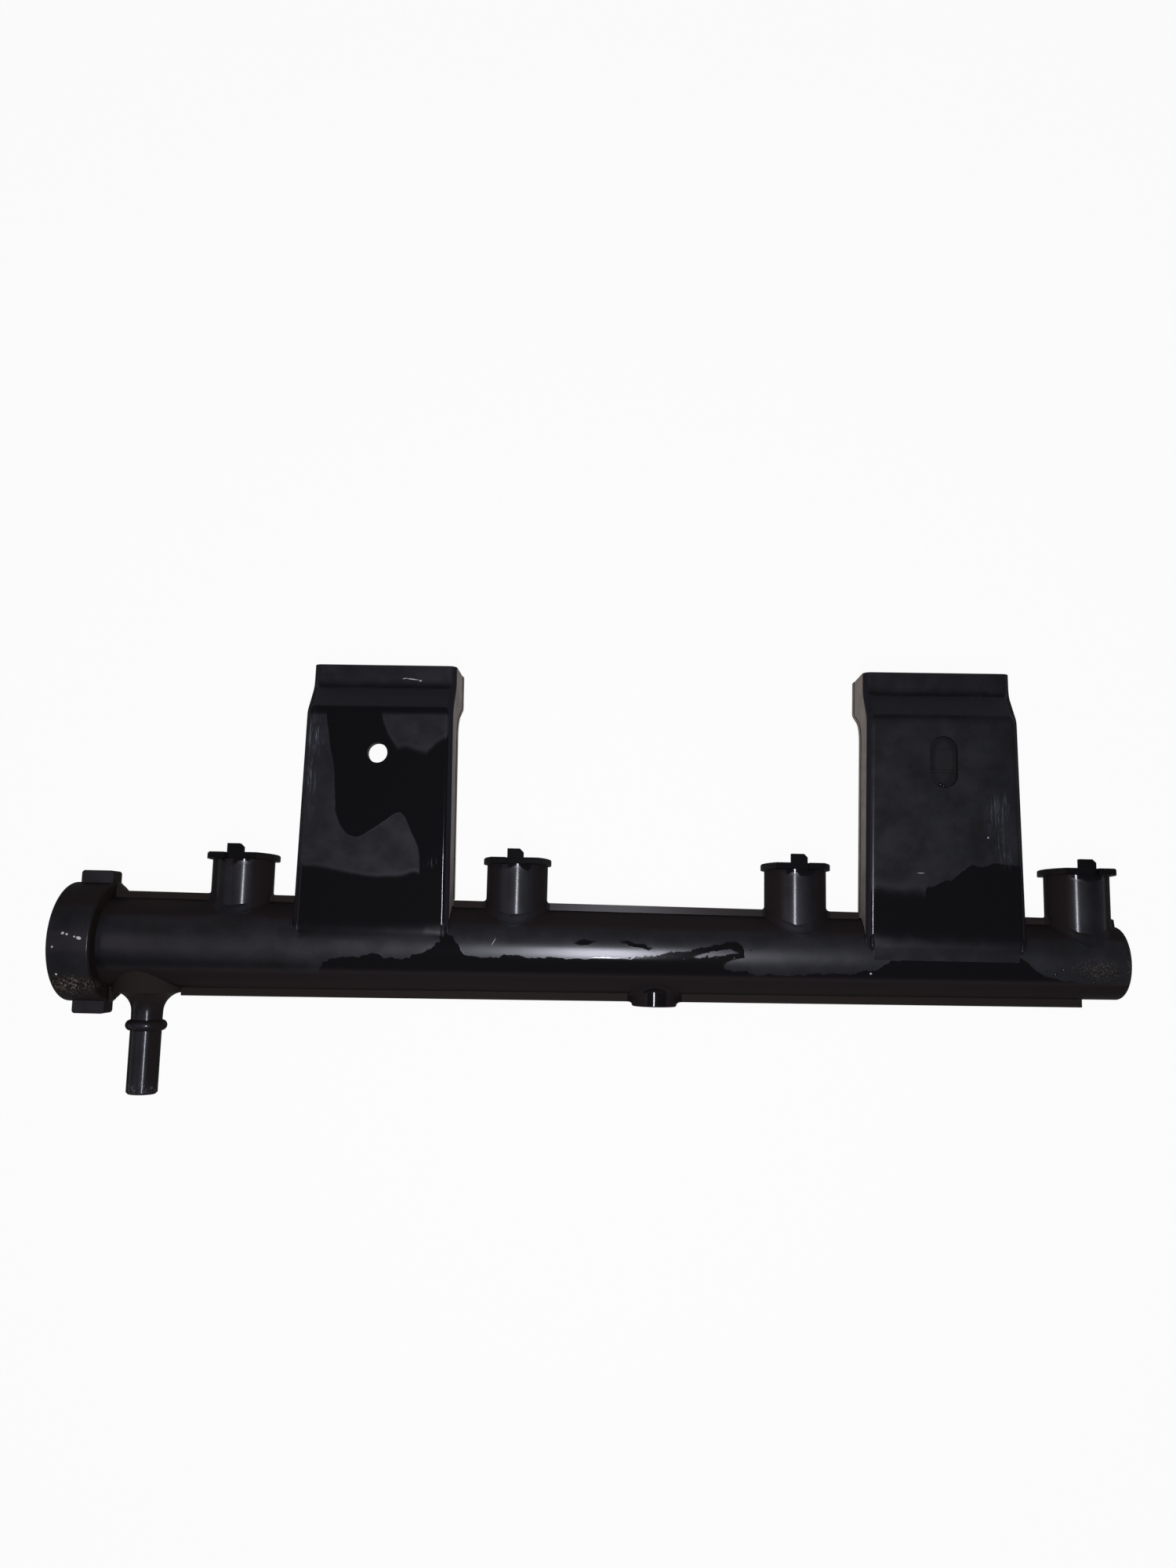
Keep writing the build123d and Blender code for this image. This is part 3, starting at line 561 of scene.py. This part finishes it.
# The aprons carry on their web's finish. The fillets and beads are as smooth as the cups.
wall_braze_width = 0.8
for label, centre, web_end, material in (("left", left_hole, 5.6, left_enamel),
                                         ("right", right_slot, 3.1, right_enamel)):
    web_apron(f"{label}_web_braze", centre, web_end, material)
    wall_fillet(f"{label}_bracket_left_braze", centre, -1, wall_braze_width, cup_enamel)
    wall_fillet(f"{label}_bracket_right_braze", centre, 1, wall_braze_width, cup_enamel)
for name, x, y, z, length, width in (("left_bracket_bead_1", -22.4, -54.0, -0.5, 2.2, 0.9),
                                     ("left_bracket_bead_2", 22.7, -54.6, -0.5, 2.6, 1.1),
                                     ("right_bracket_bead_1", 153.6, -55.6, -0.5, 2.4, 1.0),
                                     ("right_bracket_bead_2", 198.6, -56.6, -0.6, 1.8, 0.8)):
    braze_bead(name, x, y, z, length, width, cup_enamel)

# Slot plug. A black moulded nylon insert, pressed into the right bracket's slot from behind. It is a
# fine-grained black, shinier at its rim than on its tongue. A few drops of oil hang at its lower end,
# and others lie along the edge of the oil on the barrel.
grain_size, grain_depth = 0.4 * MM, 0.03 * MM
tongue_place = (176.1, 0.6, 2.4, 5.6, 0)
nylon, nylon_output = new_material("moulded_nylon")
place = add_node(nylon, "ShaderNodeTexCoord").outputs["Object"]
grain = add_node(nylon, "ShaderNodeTexNoise", {"Vector": place, "Scale": 1 / grain_size, "Detail": 2.0})
tone = add_node(nylon, "ShaderNodeMix", {
    "Factor": grain.outputs["Fac"], "A": linear_colour("#060607"), "B": linear_colour("#0e0e10")},
    data_type="RGBA")
fine = add_node(nylon, "ShaderNodeBump", {
    "Height": grain.outputs["Fac"], "Strength": 0.3, "Distance": grain_depth})
tongue = ovals(nylon, place, [tongue_place], 0.8)
wiped = add_node(nylon, "ShaderNodeMapRange", {"Value": tongue, "To Min": 0.4, "To Max": 0.62})
moulded = add_node(nylon, "ShaderNodeBsdfPrincipled", {
    "Base Color": tone.outputs["Result"], "Roughness": wiped.outputs[0], "IOR": 1.4,
    "Normal": fine.outputs[0]})
nylon.node_tree.links.new(moulded.outputs[0], nylon_output.inputs["Surface"])
wear_material(["slot_plug"], nylon)
drop_enamel = black_enamel("oil_drops", satin=0.15)


def oil_drops(name, spots, material):
    """Low round drops, one piece for a group of them. A spot is (x, y, z, radius) in millimetres."""
    length, height = 1.15, 0.6      # for a radius of 1
    mesh = bmesh.new()
    for x, y, z, radius in spots:
        made = bmesh.ops.create_icosphere(mesh, subdivisions=3, radius=1.0)
        for vert in made["verts"]:
            vert.co = Vector((x + vert.co.x * radius, y + vert.co.y * radius * length,
                              z + vert.co.z * radius * height)) * MM
    finished_piece(name, mesh, material)


oil_drops("slot_drops", [(175.1, -6.7, -1.1, 0.4), (176.2, -7.3, -1.1, 0.45), (175.6, -8.1, -1.1, 0.35),
                         (176.9, -7.9, -1.1, 0.3)], drop_enamel)
scatter = random.Random(4)
barrel_spots = []
smallest_drop, largest_drop = 0.22, 0.42
for x, y in [(80.0, -61.9), (83.5, -62.3), (88.5, -61.2), (90.6, -61.6), (93.4, -60.9), (96.5, -61.7),
             (99.0, -61.3), (103.5, -61.0), (106.6, -61.2), (109.2, -60.6), (111.8, -61.4), (113.0, -60.4),
             (116.8, -58.8), (205.8, -63.2), (210.5, -60.6), (211.2, -62.6), (216.4, -62.0), (208.9, -64.2),
             (220.6, -66.3)]:
    radius = scatter.uniform(smallest_drop, largest_drop)
    height = y - axis_y
    barrel_spots.append((x, y, axis_z + math.sqrt(barrel_radius(x) ** 2 - height ** 2), radius))
oil_drops("barrel_drops", barrel_spots, drop_enamel)

# Damper. A zinc-plated steel can, cover and spring seat, with a spring, a diaphragm and a sealing
# ring between them, held in the collar by a spring steel ring. The plating is a soft grey satin, the
# spring steel is darker, and the rubber is a matte black.


def damper_finish(name, dark, light, roughness, metallic, grain_size):
    """A plain finish with a fine grain: plated or bare steel, or rubber where it isn't metallic."""
    rough_change, grain_depth = 0.08, 0.02 * MM
    material, output = new_material(name)
    place = add_node(material, "ShaderNodeTexCoord").outputs["Object"]
    speckle = add_node(material, "ShaderNodeTexNoise", {
        "Vector": place, "Scale": 1 / (grain_size * MM), "Detail": 4.0, "Roughness": 0.6})
    colour = add_node(material, "ShaderNodeMix", {
        "Factor": speckle.outputs["Fac"], "A": linear_colour(dark), "B": linear_colour(light)},
        data_type="RGBA")
    rough = add_node(material, "ShaderNodeMapRange", {
        "Value": speckle.outputs["Fac"], "To Min": roughness - rough_change,
        "To Max": roughness + rough_change})
    bump = add_node(material, "ShaderNodeBump", {
        "Height": speckle.outputs["Fac"], "Strength": 0.3, "Distance": grain_depth})
    finish = add_node(material, "ShaderNodeBsdfPrincipled", {
        "Base Color": colour.outputs["Result"], "Roughness": rough.outputs[0], "Metallic": metallic,
        "Normal": bump.outputs[0]})
    material.node_tree.links.new(finish.outputs[0], output.inputs["Surface"])
    return material


wear_material(["damper_body", "damper_cover", "spring_seat"],
              damper_finish("zinc_plate", "#9a9c9e", "#b9bab8", 0.36, 1.0, 1.2))
wear_material(["damper_spring", "retaining_ring"],
              damper_finish("spring_steel", "#5c5a57", "#77746f", 0.32, 1.0, 0.8))
wear_material(["damper_o_ring", "damper_diaphragm"],
              damper_finish("seal_rubber", "#0d0d0d", "#171717", 0.6, 0.0, 0.6))

# Studio. A pale round sweep of paper that the collar rests on, with a raised rim. A narrow upright
# lamp beside the camera draws the bright lines on the barrel and the cups, and a broad dim one at the
# left lights the collar.
floor_mesh = bpy.data.meshes.new("floor")
rim_steps = [(0.0, 0.0), (3.5, 0.0), (3.8, 0.06), (3.95, 0.2), (4.0, 0.5)]     # reach and height, metres
around = 96
glow_share = 0.95       # of the paper that shines white to the camera and in reflections
corners, walls = [], []
for reach, height in rim_steps:
    corners += [(reach * math.cos(math.tau * i / around), reach * math.sin(math.tau * i / around), height)
                for i in range(around)]
for row in range(len(rim_steps) - 1):
    for i in range(around):
        after = (i + 1) % around
        walls.append((row * around + i, row * around + after, row * around + around + after,
                      row * around + around + i))
floor_mesh.from_pydata(corners, [], walls)
floor = bpy.data.objects.new("floor", floor_mesh)
floor.location = (0.07, 0.0, cad_box[0].z)
bpy.context.scene.collection.objects.link(floor)
paper, paper_output = new_material("floor_paper")
path = add_node(paper, "ShaderNodeLightPath")
seen = joined(paper, "MAXIMUM", path.outputs["Is Camera Ray"], path.outputs["Is Glossy Ray"],
              path.outputs["Is Transmission Ray"])
matte = add_node(paper, "ShaderNodeBsdfDiffuse", {"Color": linear_colour("#e4e0dc")})
glow = add_node(paper, "ShaderNodeEmission", {"Color": (1, 1, 1, 1), "Strength": 1.0})
share = add_node(paper, "ShaderNodeMath", {0: seen, 1: glow_share}, operation="MULTIPLY")
both = add_node(paper, "ShaderNodeMixShader", {
    0: share.outputs[0], 1: matte.outputs[0], 2: glow.outputs[0]})
paper.node_tree.links.new(both.outputs[0], paper_output.inputs["Surface"])
floor_mesh.materials.append(paper)

world = bpy.data.worlds.new("studio")
bpy.context.scene.world = world
world.use_nodes = True
world.node_tree.nodes["Background"].inputs["Color"].default_value = linear_colour("#e8ecf4")
world.node_tree.nodes["Background"].inputs["Strength"].default_value = 0.1


def soft_lamp(name, place, target, width, height, power, colour):
    """A rectangular soft lamp that faces a point, placed in metres."""
    data = bpy.data.lights.new(name, "AREA")
    data.shape = "RECTANGLE"
    data.size, data.size_y = width, height
    data.energy = power
    data.color = linear_colour(colour)[:3]
    lamp = bpy.data.objects.new(name, data)
    lamp.location = place
    lamp.rotation_euler = (Vector(target) - Vector(place)).to_track_quat("-Z", "Y").to_euler()
    bpy.context.scene.collection.objects.link(lamp)


soft_lamp("lamp_by_camera", (0.075, -0.085, 0.37), target=(0.075, -0.085, 0.0), width=0.016, height=0.16,
          power=1.08, colour="#f0f1ff")
soft_lamp("side_lamp", (-0.33, -0.06, 0.36), target=(0.0, -0.05, 0.0), width=0.28, height=0.25,
          power=0.09, colour="#ffe0ea")

# The camera's lens, place and turns are fitted to the four cups in the photograph.
camera_place = Vector((0.0767, -0.0553, 0.3547))
camera_data = bpy.data.cameras.new("camera")
camera_data.lens = 26.46
camera_data.sensor_width = 36.0
camera_data.clip_start = 0.01
camera = bpy.data.objects.new("camera", camera_data)
turn = (Matrix.Rotation(math.radians(-1.21), 3, "Z") @ Matrix.Rotation(math.radians(-7.47), 3, "X")
        @ Matrix.Rotation(math.radians(-1.69), 3, "Y"))
camera.matrix_world = Matrix.LocRotScale(camera_place, turn.transposed(), None)
bpy.context.scene.collection.objects.link(camera)
bpy.context.scene.camera = camera
bpy.context.scene.view_settings.view_transform = "Standard"
